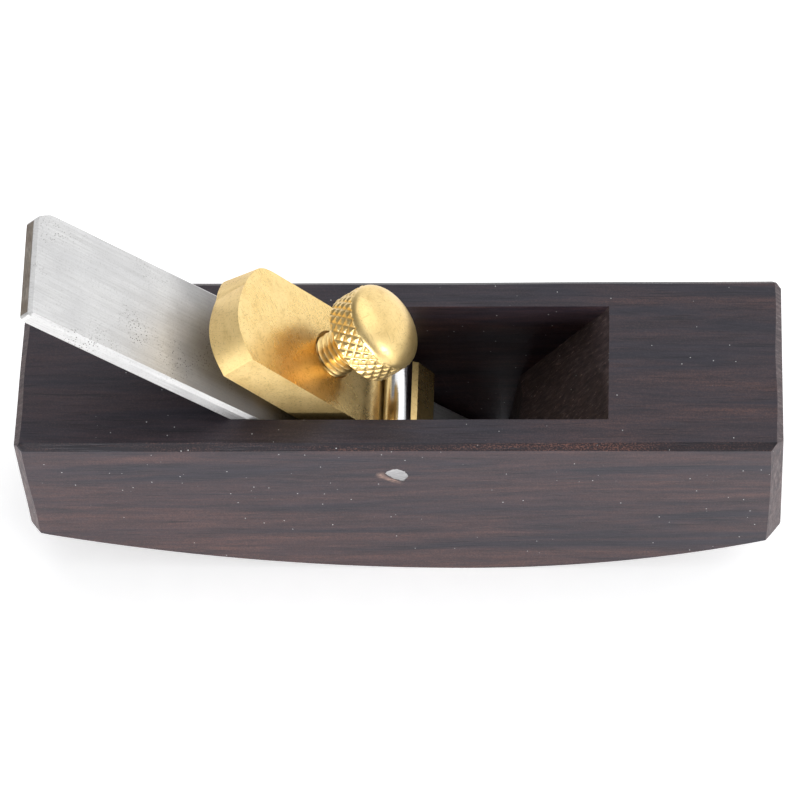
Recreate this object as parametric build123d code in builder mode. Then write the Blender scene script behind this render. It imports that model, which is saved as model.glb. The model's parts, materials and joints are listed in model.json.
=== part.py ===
"""Small compass-soled hand plane: an ebony stock with a chopped mortise, a steel iron on a
45 degree bed, and a brass lever cap that a thumb screw tips about a steel cross pin.

The row frame has its origin under the middle of the stock, level with the lowest line of the
sole, with +X towards the toe and +Z up.  Everything is in millimetres.
"""

from build123d import *
import os
from math import cos, radians, sin, sqrt, tan

os.makedirs("parts", exist_ok=True)

# Driving dimensions: the stock.
STOCK_LENGTH = 105.0
STOCK_WIDTH = 27.6
STOCK_HEIGHT = 32.25         # top face down to the lowest line of the sole
SOLE_LOW_X = 8.0             # the lowest line of the rocking sole
SOLE_RADIUS_HEEL = 188.0     # sole sweep from the lowest line back to the heel
SOLE_RADIUS_TOE = 120.5      # sole sweep from the lowest line on to the toe
TOP_CHAMFER = 0.85
CORNER_CHAMFER = 1.1         # three of the upright corners
NEAR_TOE_CHAMFER = 1.75      # the fourth is cut back further
SOLE_END_ROUND = 0.9

# Driving dimensions: the mortise and its bed.
BED_ANGLE = 45.0
MORTISE_WIDTH = 18.4
IRON_FACE_TOP_X = -19.9      # where the iron's upper face crosses the stock's top face
THROAT_TOP_X = 29.0          # front end of the mortise at the top face
THROAT_LEAN = 36.0           # the throat's upper wall, from upright
THROAT_BREAK_DEPTH = 18.0    # below here the front wall turns steep, as the wear
MOUTH_GAP = 1.2              # from the iron's upper face to the front of the mouth

# Driving dimensions: the iron.
IRON_THICKNESS = 2.1
IRON_WIDTH = 17.3
IRON_TAIL_REACH = 38.7       # tail end above the stock's top face, along the bed
IRON_SKEW = 1.1              # turned in the bed, degrees
IRON_SIDE_SET = 0.42         # cutting edge's middle, off the stock's centre line
IRON_EDGE_BEVEL = 0.5
IRON_CORNER_ALONG = 4.0      # the far tail corner is filed away
IRON_CORNER_ACROSS = 2.2
IRON_NEAR_CORNER_ROUND = 0.6
GRIND_ANGLE = 30.0
EDGE_LAND = 0.08             # what is left of the thickness at the cutting edge
EDGE_CLEAR_OF_FLOOR = 0.15

# Driving dimensions: the cross pin.
PIN_RADIUS = 1.95
PIN_X = -0.6
PIN_DEPTH = 7.3              # axis below the stock's top face

# Driving dimensions: the lever cap, in its own frame.  "Along" runs up the cap from the
# pin, and "rise" is the height above the cap's upper face.
CAP_ANGLE = 49.5
CAP_WIDTH = 15.65
CAP_THICKNESS = 5.9
CAP_NEAR_SET = 0.2           # the cap sits this much towards the near cheek
CAP_BLANK_ALONG = 31.0       # length of the blank that the crown is filed from
CAP_CROWN = (                # the hand-filed crown, along and across towards the near cheek
    (27.45, 8.025),
    (29.55, 5.6),
    (30.6, 2.8),
    (30.4, -0.7),
    (29.6, -3.4),
    (28.4, -5.6),
    (27.0, -7.05),
    (24.6, -7.625),
)
CAP_NOSE_ALONG = -9.1
PIN_RISE = 0.46              # pin axis above the cap's upper face
GROOVE_RADIUS = 6.5
GROOVE_START_ALONG = 2.5
GROOVE_END_ALONG = -5.0
ROLL_OFF_ALONG = 6.6         # the upper face starts to roll down to the groove here
NOSE_DROP = 0.8
NOSE_ROUND = 0.5
TOE_LENGTH = 1.9
TOE_FLAT = 0.6

# Driving dimensions: the thumb screw.
SCREW_ALONG = 12.34
SCREW_LEAN = 4.5             # the hole is drilled a little out of square, degrees sideways
THREAD_RADIUS = 3.175        # 1/4 inch, 28 threads to the inch
KNOB_RADIUS = 6.35
KNOB_STAND_OFF = 5.3         # from the cap's face to the knob's underside
KNURL_HEIGHT = 4.1
DOME_HEIGHT = 2.7
KNOB_EDGE_BREAK = 0.25
KNOB_BORE_DEPTH = 4.0
HOLE_RIM_RADIUS = 3.45
TIP_LAND_RADIUS = 1.4
TIP_HEIGHT = 0.9

# Clearances.
PIN_TO_GROOVE = 0.05
RUNNING_CLEARANCE = 0.05     # threaded stud in the cap
KNOB_FIT_CLEARANCE = 0.02    # knob on the stud
TOUCH_CLEARANCE = 0.04       # cap toe and screw tip above the iron
BED_CLEARANCE = 0.02         # iron above the bed

# Worked out from those.
HALF_LENGTH = STOCK_LENGTH / 2
PIN_Z = STOCK_HEIGHT - PIN_DEPTH
BED_UP = Vector(-cos(radians(BED_ANGLE)), 0, sin(radians(BED_ANGLE)))
BED_NORMAL = Vector(sin(radians(BED_ANGLE)), 0, cos(radians(BED_ANGLE)))
CAP_UP = Vector(-cos(radians(CAP_ANGLE)), 0, sin(radians(CAP_ANGLE)))
CAP_NORMAL = Vector(sin(radians(CAP_ANGLE)), 0, cos(radians(CAP_ANGLE)))
PIN_CENTRE = Vector(PIN_X, 0, PIN_Z)
CAP_ORIGIN = PIN_CENTRE - CAP_NORMAL * PIN_RISE
IRON_FACE_TOP = Vector(IRON_FACE_TOP_X, 0, STOCK_HEIGHT)
TILT_OVER_IRON = CAP_ANGLE - BED_ANGLE


def sole_height(x):
    """Height of the sole's sweep above its lowest line."""
    radius = SOLE_RADIUS_TOE if x > SOLE_LOW_X else SOLE_RADIUS_HEEL
    return radius - sqrt(radius**2 - (x - SOLE_LOW_X) ** 2)


def iron_rise(along):
    """Where the iron's upper face lies in the cap's frame, as a rise (it is negative)."""
    pin_above_iron = (PIN_CENTRE - IRON_FACE_TOP).dot(BED_NORMAL)
    foot = PIN_RISE - pin_above_iron / cos(radians(TILT_OVER_IRON))
    return foot - along * tan(radians(TILT_OVER_IRON))


# ---------------------------------------------------------------- stock
iron_seat_shift = (IRON_THICKNESS + BED_CLEARANCE) / sin(radians(BED_ANGLE))
bed_top_x = IRON_FACE_TOP_X - iron_seat_shift
below_sole = -2.0
above_top = STOCK_HEIGHT + 2.0
bed_run = 1 / tan(radians(BED_ANGLE))
throat_break_z = STOCK_HEIGHT - THROAT_BREAK_DEPTH
throat_run = tan(radians(THROAT_LEAN))
throat_break_x = THROAT_TOP_X - THROAT_BREAK_DEPTH * throat_run
mouth_front_x = IRON_FACE_TOP_X + STOCK_HEIGHT * bed_run + MOUTH_GAP

with BuildPart() as stock:
    with BuildSketch(Plane.XZ):
        with BuildLine():
            heel_foot = (-HALF_LENGTH, sole_height(-HALF_LENGTH))
            toe_foot = (HALF_LENGTH, sole_height(HALF_LENGTH))
            heel_mid_x = (SOLE_LOW_X - HALF_LENGTH) / 2
            toe_mid_x = (SOLE_LOW_X + HALF_LENGTH) / 2
            ThreePointArc(heel_foot, (heel_mid_x, sole_height(heel_mid_x)), (SOLE_LOW_X, 0))
            ThreePointArc((SOLE_LOW_X, 0), (toe_mid_x, sole_height(toe_mid_x)), toe_foot)
            Polyline(toe_foot, (HALF_LENGTH, STOCK_HEIGHT), (-HALF_LENGTH, STOCK_HEIGHT), heel_foot)
        make_face()
    extrude(amount=STOCK_WIDTH / 2, both=True)
    upright_edges = stock.edges().filter_by(Axis.Z)
    near_toe_edge = upright_edges.sort_by(Axis((0, 0, 0), (1, -1, 0)))[-1]
    chamfer([edge for edge in upright_edges if edge != near_toe_edge], CORNER_CHAMFER)
    near_toe_edge = stock.edges().filter_by(Axis.Z).sort_by(Axis((0, 0, 0), (1, -1, 0)))[-1]
    chamfer(near_toe_edge, NEAR_TOE_CHAMFER)
    chamfer(stock.faces().sort_by(Axis.Z)[-1].edges(), TOP_CHAMFER)
    end_faces = stock.faces().filter_by(Axis.X)
    fillet([end.edges().sort_by(Axis.Z)[0] for end in end_faces], SOLE_END_ROUND)
    with BuildSketch(Plane.XZ):
        Polygon(
            (bed_top_x - (above_top - STOCK_HEIGHT) * bed_run, above_top),
            (bed_top_x + (STOCK_HEIGHT - below_sole) * bed_run, below_sole),
            (mouth_front_x, below_sole),
            (mouth_front_x, 0),
            (throat_break_x, throat_break_z),
            (THROAT_TOP_X, STOCK_HEIGHT),
            (THROAT_TOP_X, above_top),
            align=None,
        )
    extrude(amount=MORTISE_WIDTH / 2, both=True, mode=Mode.SUBTRACT)
    with BuildSketch(Plane.XZ):
        with Locations((PIN_X, PIN_Z)):
            Circle(PIN_RADIUS)
    extrude(amount=STOCK_WIDTH / 2, both=True, mode=Mode.SUBTRACT)

# ---------------------------------------------------------------- cross pin
with BuildPart() as cross_pin:
    with BuildSketch(Plane.XZ):
        with Locations((PIN_X, PIN_Z)):
            Circle(PIN_RADIUS)
    extrude(amount=STOCK_WIDTH / 2, both=True)

# ---------------------------------------------------------------- iron
edge_reach = (EDGE_CLEAR_OF_FLOOR - STOCK_HEIGHT) / sin(radians(BED_ANGLE))
iron_edge = IRON_FACE_TOP + BED_UP * edge_reach + Vector(0, IRON_SIDE_SET, 0)
iron_up = BED_UP.rotate(Axis((0, 0, 0), tuple(BED_NORMAL)), IRON_SKEW)
iron_length = IRON_TAIL_REACH - edge_reach
grind_run = (IRON_THICKNESS - EDGE_LAND) / tan(radians(GRIND_ANGLE))
iron_side = Plane(origin=iron_edge, x_dir=iron_up, z_dir=iron_up.cross(BED_NORMAL))
iron_plan = Plane(origin=iron_edge, x_dir=iron_up, z_dir=BED_NORMAL)

with BuildPart() as iron:
    with BuildSketch(iron_side):
        Polygon(
            (0, 0),
            (0, -EDGE_LAND),
            (grind_run, -IRON_THICKNESS),
            (iron_length, -IRON_THICKNESS),
            (iron_length, 0),
            align=None,
        )
    extrude(amount=IRON_WIDTH / 2, both=True)
    bed_normal_axis = Axis(iron_edge, BED_NORMAL)
    with BuildSketch(iron_plan):
        with BuildLine():
            half_iron = IRON_WIDTH / 2
            tail_end = (iron_length, IRON_CORNER_ACROSS - half_iron)
            far_end = (iron_length - IRON_CORNER_ALONG, -half_iron)
            corner_middle = (iron_length - 0.32 * IRON_CORNER_ALONG, 0.46 * IRON_CORNER_ACROSS - half_iron)
            Spline(tail_end, corner_middle, far_end, tangents=((-0.35, -1), (-1, -0.12)))
            Polyline(far_end, (-1, -half_iron), (-1, half_iron), (iron_length, half_iron), tail_end)
        make_face()
    extrude(amount=2 * IRON_THICKNESS, both=True, mode=Mode.INTERSECT)
    near_tail_edge = iron.edges().filter_by(bed_normal_axis).sort_by(Axis(iron_edge, iron_up - Vector(0, 1, 0)))[-1]
    fillet(near_tail_edge, IRON_NEAR_CORNER_ROUND)
    upper_face = iron.faces().sort_by(bed_normal_axis)[-1]
    long_edges = upper_face.edges().filter_by(Axis(iron_edge, iron_up))
    chamfer(long_edges, IRON_EDGE_BEVEL)

# ---------------------------------------------------------------- lever cap
groove_centre_along = (GROOVE_START_ALONG + GROOVE_END_ALONG) / 2
pin_to_groove_centre = GROOVE_RADIUS - PIN_RADIUS - PIN_TO_GROOVE
groove_centre_rise = PIN_RISE + sqrt(pin_to_groove_centre**2 - groove_centre_along**2)


def groove_rise(along):
    """Rise of the cross groove's floor."""
    return groove_centre_rise - sqrt(GROOVE_RADIUS**2 - (along - groove_centre_along) ** 2)


cap_side = Plane(origin=CAP_ORIGIN, x_dir=CAP_UP, z_dir=CAP_UP.cross(CAP_NORMAL))
cap_face = Plane(origin=CAP_ORIGIN, x_dir=CAP_UP, z_dir=CAP_NORMAL)
screw_origin = CAP_ORIGIN + CAP_UP * SCREW_ALONG
screw_direction = CAP_NORMAL.rotate(Axis((0, 0, 0), tuple(CAP_UP)), SCREW_LEAN)
screw_side = Plane(origin=screw_origin, x_dir=CAP_UP, z_dir=CAP_UP.cross(screw_direction))
screw_axis = Axis(screw_origin, screw_direction)
hole_radius = THREAD_RADIUS + RUNNING_CLEARANCE
toe_back = CAP_NOSE_ALONG + TOE_LENGTH
toe_heel = CAP_NOSE_ALONG + NOSE_ROUND + TOE_FLAT

with BuildPart() as lever_cap:
    with BuildSketch(cap_side):
        with BuildLine():
            groove_start = (GROOVE_START_ALONG, groove_rise(GROOVE_START_ALONG))
            groove_end = (GROOVE_END_ALONG, groove_rise(GROOVE_END_ALONG))
            groove_low = (groove_centre_along, groove_rise(groove_centre_along))
            roll_start = (ROLL_OFF_ALONG, 0)
            nose_top = (CAP_NOSE_ALONG + NOSE_ROUND, groove_end[1] - NOSE_DROP + NOSE_ROUND)
            nose_front = (CAP_NOSE_ALONG, nose_top[1] - NOSE_ROUND)
            toe_front = (CAP_NOSE_ALONG, iron_rise(CAP_NOSE_ALONG) + TOUCH_CLEARANCE + NOSE_ROUND)
            toe_tip = (CAP_NOSE_ALONG + NOSE_ROUND, iron_rise(CAP_NOSE_ALONG + NOSE_ROUND) + TOUCH_CLEARANCE)
            toe_end = (toe_heel, iron_rise(toe_heel) + TOUCH_CLEARANCE)
            Line((CAP_BLANK_ALONG, 0), roll_start)
            TangentArc(roll_start, groove_start, tangent=(-1, 0))
            ThreePointArc(groove_start, groove_low, groove_end)
            Line(groove_end, nose_top)
            Line(nose_top, nose_front)
            Line(nose_front, toe_front)
            Line(toe_front, toe_tip)
            Line(toe_tip, toe_end)
            Line(toe_end, (toe_back, -CAP_THICKNESS))
            Line((toe_back, -CAP_THICKNESS), (CAP_BLANK_ALONG, -CAP_THICKNESS))
            Line((CAP_BLANK_ALONG, -CAP_THICKNESS), (CAP_BLANK_ALONG, 0))
        make_face()
    extrude(amount=CAP_WIDTH, both=True)
    near_side = CAP_NEAR_SET + CAP_WIDTH / 2
    far_side = CAP_NEAR_SET - CAP_WIDTH / 2
    past_nose = CAP_NOSE_ALONG - 1
    with BuildSketch(cap_face.offset(-2 * CAP_THICKNESS)):
        with BuildLine():
            Spline(*CAP_CROWN, tangents=((0.55, -1), (-1, 0)))
            Polyline(CAP_CROWN[-1], (past_nose, far_side), (past_nose, near_side), CAP_CROWN[0])
        make_face()
    extrude(amount=3 * CAP_THICKNESS, mode=Mode.INTERSECT)
    with BuildSketch(screw_side):
        Polygon(
            (0, -2 * CAP_THICKNESS),
            (hole_radius, -2 * CAP_THICKNESS),
            (hole_radius, hole_radius - HOLE_RIM_RADIUS),
            (HOLE_RIM_RADIUS + KNOB_STAND_OFF, KNOB_STAND_OFF),
            (0, KNOB_STAND_OFF),
            align=None,
        )
    revolve(axis=screw_axis, mode=Mode.SUBTRACT)

# ---------------------------------------------------------------- thumb screw
tip_lift = TIP_LAND_RADIUS * (sin(radians(TILT_OVER_IRON)) + sin(radians(SCREW_LEAN)))
tip_rise = (iron_rise(SCREW_ALONG) + tip_lift + TOUCH_CLEARANCE) / cos(radians(SCREW_LEAN))
knob_top = KNOB_STAND_OFF + KNURL_HEIGHT + DOME_HEIGHT
stud_top = KNOB_STAND_OFF + KNOB_BORE_DEPTH - TOUCH_CLEARANCE

with BuildPart() as thumb_screw_stud:
    with BuildSketch(screw_side):
        Polygon(
            (0, tip_rise),
            (TIP_LAND_RADIUS, tip_rise),
            (THREAD_RADIUS, tip_rise + TIP_HEIGHT),
            (THREAD_RADIUS, stud_top),
            (0, stud_top),
            align=None,
        )
    revolve(axis=screw_axis)

with BuildPart() as thumb_screw_knob:
    bore_radius = THREAD_RADIUS + KNOB_FIT_CLEARANCE
    bore_top = KNOB_STAND_OFF + KNOB_BORE_DEPTH
    dome_base = KNOB_STAND_OFF + KNURL_HEIGHT
    diagonal = sin(radians(45))
    with BuildSketch(screw_side):
        with BuildLine():
            Polyline(
                (0, knob_top),
                (0, bore_top),
                (bore_radius, bore_top),
                (bore_radius, KNOB_STAND_OFF),
                (KNOB_RADIUS - KNOB_EDGE_BREAK, KNOB_STAND_OFF),
                (KNOB_RADIUS, KNOB_STAND_OFF + KNOB_EDGE_BREAK),
                (KNOB_RADIUS, dome_base),
            )
            Spline(
                (KNOB_RADIUS, dome_base),
                (KNOB_RADIUS * diagonal, dome_base + DOME_HEIGHT * diagonal),
                (0, knob_top),
                tangents=((0, 1), (-1, 0)),
            )
        make_face()
    revolve(axis=screw_axis)

for name, piece in {
    "stock": stock,
    "cross_pin": cross_pin,
    "iron": iron,
    "lever_cap": lever_cap,
    "thumb_screw_stud": thumb_screw_stud,
    "thumb_screw_knob": thumb_screw_knob,
}.items():
    piece.part.label = name
    export_step(piece.part, f"parts/{name}.step")

# The places that the joints, the openings and the report quote.
print("pin axis", PIN_CENTRE)
print("screw axis origin", screw_origin, "direction", screw_direction)
print("iron direction", iron_up, "cutting edge", iron_edge, "length", round(iron_length, 2))
print("screw to pin", SCREW_ALONG, "cap tilt over iron", TILT_OVER_IRON)
print("throat break", round(throat_break_x, 2), round(throat_break_z, 2), "mouth front", round(mouth_front_x, 2))
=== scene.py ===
import bmesh
import bpy
import json
import random
from math import asin, atan2, cos, pi, radians, sin, sqrt
from mathutils import Matrix, Vector


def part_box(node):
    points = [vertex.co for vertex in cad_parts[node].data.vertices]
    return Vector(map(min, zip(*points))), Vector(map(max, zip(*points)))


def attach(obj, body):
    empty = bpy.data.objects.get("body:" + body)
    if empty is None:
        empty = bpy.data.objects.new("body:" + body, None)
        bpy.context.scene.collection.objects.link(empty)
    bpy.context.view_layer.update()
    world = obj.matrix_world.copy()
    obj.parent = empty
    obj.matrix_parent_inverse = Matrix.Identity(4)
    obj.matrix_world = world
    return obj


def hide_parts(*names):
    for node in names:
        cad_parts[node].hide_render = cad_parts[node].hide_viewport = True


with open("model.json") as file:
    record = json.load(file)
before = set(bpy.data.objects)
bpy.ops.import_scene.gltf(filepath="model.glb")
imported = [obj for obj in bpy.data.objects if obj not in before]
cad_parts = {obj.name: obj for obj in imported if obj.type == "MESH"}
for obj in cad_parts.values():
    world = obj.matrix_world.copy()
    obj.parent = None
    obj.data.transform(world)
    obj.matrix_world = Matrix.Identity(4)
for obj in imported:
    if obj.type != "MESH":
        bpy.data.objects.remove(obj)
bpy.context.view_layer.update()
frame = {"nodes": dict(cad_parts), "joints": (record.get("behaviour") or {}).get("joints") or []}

MM = 0.001
JOINTS = {joint["name"]: joint for joint in frame["joints"]}
STOCK_LOW, STOCK_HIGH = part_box("stock")
PIN_LOW, PIN_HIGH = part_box("cross_pin")
STOCK_TOP = STOCK_HIGH.z
HALF_LENGTH = STOCK_HIGH.x
HALF_WIDTH = STOCK_HIGH.y

PIN_X = (PIN_LOW.x + PIN_HIGH.x) / 2
PIN_Z = (PIN_LOW.z + PIN_HIGH.z) / 2
PIN_RADIUS = (PIN_HIGH.x - PIN_LOW.x) / 2

# The stock's own sizes, as its solid has them but for the sole's ends, which roll up here
# in a longer, lower curve.
SOLE_LOW_X = 8.0 * MM
SOLE_RADIUS_HEEL = 188.0 * MM
SOLE_RADIUS_TOE = 120.5 * MM
TOP_CHAMFER = 0.85 * MM
CORNER_CHAMFER = 1.1 * MM
NEAR_TOE_CHAMFER = 1.75 * MM
SOLE_END_ROUND = 2.4 * MM
SOLE_END_LIFT = 0.85 * MM
MORTISE_HALF = 9.2 * MM
BED_TOP_X = -22.9 * MM
THROAT_TOP_X = 29.0 * MM
THROAT_BREAK_X = 15.92 * MM
THROAT_BREAK_Z = 14.25 * MM
MOUTH_FRONT_X = 13.55 * MM
CHISEL_FACET = 0.42 * MM
CHAMFER_WEAR = 0.10 * MM
WEAR_HEIGHT = 1.6 * MM
STOCK_EDGE_BREAK = 0.14 * MM
PIN_EDGE_BREAK = 0.06 * MM
IRON_EDGE_BREAK = 0.10 * MM
CAP_EDGE_BREAK = 0.20 * MM

# How far up the iron the cap's upper end comes, measured from the frame's origin.
CAP_END_ON_IRON = 47.0 * MM

# The painted shadow of the cap, a dull band on the iron's upper face, from there: none is
# left this far above it, it is full from this far below, and further down under the cap it
# fades out between two more.
CAP_SHADE_NONE_ABOVE = 6.5 * MM
CAP_SHADE_FULL_BELOW = 2.0 * MM
CAP_SHADE_FADES_BELOW = 9 * MM
CAP_SHADE_NONE_BELOW = 18 * MM

# The directions that the iron and the screw lie in.
IRON_UP = Vector(JOINTS["iron_slide"]["axis"]).normalized()
SCREW_AXIS = Vector(JOINTS["screw_turn"]["axis"]).normalized()
SCREW_ORIGIN = Vector(JOINTS["screw_turn"]["pos_m"])
THREAD_RADIUS = 3.175 * MM
THREAD_PITCH = 0.907 * MM
KNOB_RADIUS = 6.35 * MM
KNOB_STAND_OFF = 5.3 * MM
KNURL_HEIGHT = 4.1 * MM
DOME_HEIGHT = 2.7 * MM
KNOB_BORE_DEPTH = 4.0 * MM
KNOB_BORE_RADIUS = THREAD_RADIUS + 0.02 * MM


# The sockets of a Map Range node, in the order its numbers are given in.
SPAN_SOCKETS = ("From Min", "From Max", "To Min", "To Max")


# ------------------------------------------------------------------ material tools
class Nodes:
    """Makes nodes in a tree and joins them, with as few words as it can."""

    def __init__(self, tree):
        self.tree = tree

    def node(self, kind, **settings):
        made = self.tree.nodes.new(kind)
        for key, value in settings.items():
            setattr(made, key, value)
        return made

    def join(self, source, target):
        self.tree.links.new(source, target)

    def feed(self, socket, value):
        if hasattr(value, "is_output"):
            self.join(value, socket)
        else:
            socket.default_value = value

    def maths(self, operation, first, second=0.0, clamp=False):
        made = self.node("ShaderNodeMath", operation=operation, use_clamp=clamp)
        self.feed(made.inputs[0], first)
        self.feed(made.inputs[1], second)
        return made.outputs[0]

    def times(self, first, second, clamp=False):
        return self.maths("MULTIPLY", first, second, clamp)

    def spans(self, value, low, high, to_low=0.0, to_high=1.0, curve="LINEAR"):
        made = self.node("ShaderNodeMapRange", interpolation_type=curve)
        self.join(value, made.inputs["Value"])
        for socket, number in zip(SPAN_SOCKETS, (low, high, to_low, to_high)):
            made.inputs[socket].default_value = number
        return made.outputs[0]

    def along(self, direction, vector):
        """How far a vector reaches in a direction."""
        made = self.node("ShaderNodeVectorMath", operation="DOT_PRODUCT")
        self.join(vector, made.inputs[0])
        made.inputs[1].default_value = direction
        return made.outputs["Value"]


class Paint(Nodes):
    """A node material, made from Object coordinates."""

    def __init__(self, name, **shader_values):
        self.material = bpy.data.materials.new(name)
        self.material.use_nodes = True
        super().__init__(self.material.node_tree)
        self.shader = self.tree.nodes["Principled BSDF"]
        for socket, value in shader_values.items():
            self.shader.inputs[socket.replace("_", " ")].default_value = value
        self.place = self.node("ShaderNodeTexCoord").outputs["Object"]

    def true_normal(self):
        return self.node("ShaderNodeNewGeometry").outputs["True Normal"]

    def mapped(self, scale=1, turn=(0, 0, 0), shift=(0, 0, 0), source=None):
        """Object coordinates turned first and stretched after, so grain can lie along any line."""
        turned = self.node("ShaderNodeMapping")
        self.join(source or self.place, turned.inputs["Vector"])
        turned.inputs["Rotation"].default_value = turn
        turned.inputs["Location"].default_value = shift
        stretched = self.node("ShaderNodeMapping")
        self.join(turned.outputs[0], stretched.inputs["Vector"])
        stretched.inputs["Scale"].default_value = scale if isinstance(scale, tuple) else (scale,) * 3
        return stretched.outputs[0]

    def noise(self, vector, detail=4.0, rough=0.5, distort=0.0):
        made = self.node("ShaderNodeTexNoise")
        self.join(vector, made.inputs["Vector"])
        made.inputs["Scale"].default_value = 1.0
        made.inputs["Detail"].default_value = detail
        made.inputs["Roughness"].default_value = rough
        made.inputs["Distortion"].default_value = distort
        return made.outputs["Fac"]

    def cells(self, vector, scale):
        made = self.node("ShaderNodeTexVoronoi", feature="F1")
        self.join(vector, made.inputs["Vector"])
        made.inputs["Scale"].default_value = scale
        return made.outputs["Distance"]

    def ramp(self, value, *stops):
        made = self.node("ShaderNodeValToRGB")
        self.join(value, made.inputs[0])
        elements = made.color_ramp.elements
        while len(elements) < len(stops):
            elements.new(1.0)
        for element, (position, colour) in zip(elements, stops):
            element.position = position
            element.color = (*colour, 1) if isinstance(colour, tuple) else (colour, colour, colour, 1)
        return made.outputs["Color"]

    def mix(self, share, first, second, blend="MIX"):
        made = self.node("ShaderNodeMix", data_type="RGBA", blend_type=blend)
        self.feed(made.inputs["Factor"], share)
        for socket, colour in ((made.inputs[6], first), (made.inputs[7], second)):
            self.feed(socket, (*colour, 1) if isinstance(colour, tuple) else colour)
        return made.outputs[2]

    def parts(self, vector=None):
        made = self.node("ShaderNodeSeparateXYZ")
        self.join(vector or self.place, made.inputs[0])
        return made.outputs

    def bump(self, height, depth, strength=1.0, over=None):
        made = self.node("ShaderNodeBump")
        self.join(height, made.inputs["Height"])
        made.inputs["Distance"].default_value = depth
        made.inputs["Strength"].default_value = strength
        if over:
            self.join(over, made.inputs["Normal"])
        return made.outputs[0]

    def finish(self, colour, roughness, normal, metallic=None):
        for socket, value in (("Base Color", colour), ("Roughness", roughness), ("Normal", normal)):
            self.join(value, self.shader.inputs[socket])
        if metallic is not None:
            self.join(metallic, self.shader.inputs["Metallic"])
        return self.material


# The tan smears round the pin's near end, in mm from its axis: across, up, half-lengths
# along and across the smear, and its lean in degrees.
SMEARS = [(-1.75, 0.15, 0.75, 0.85, 0.0), (-0.35, -1.05, 1.45, 0.50, -31.0)]


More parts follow.
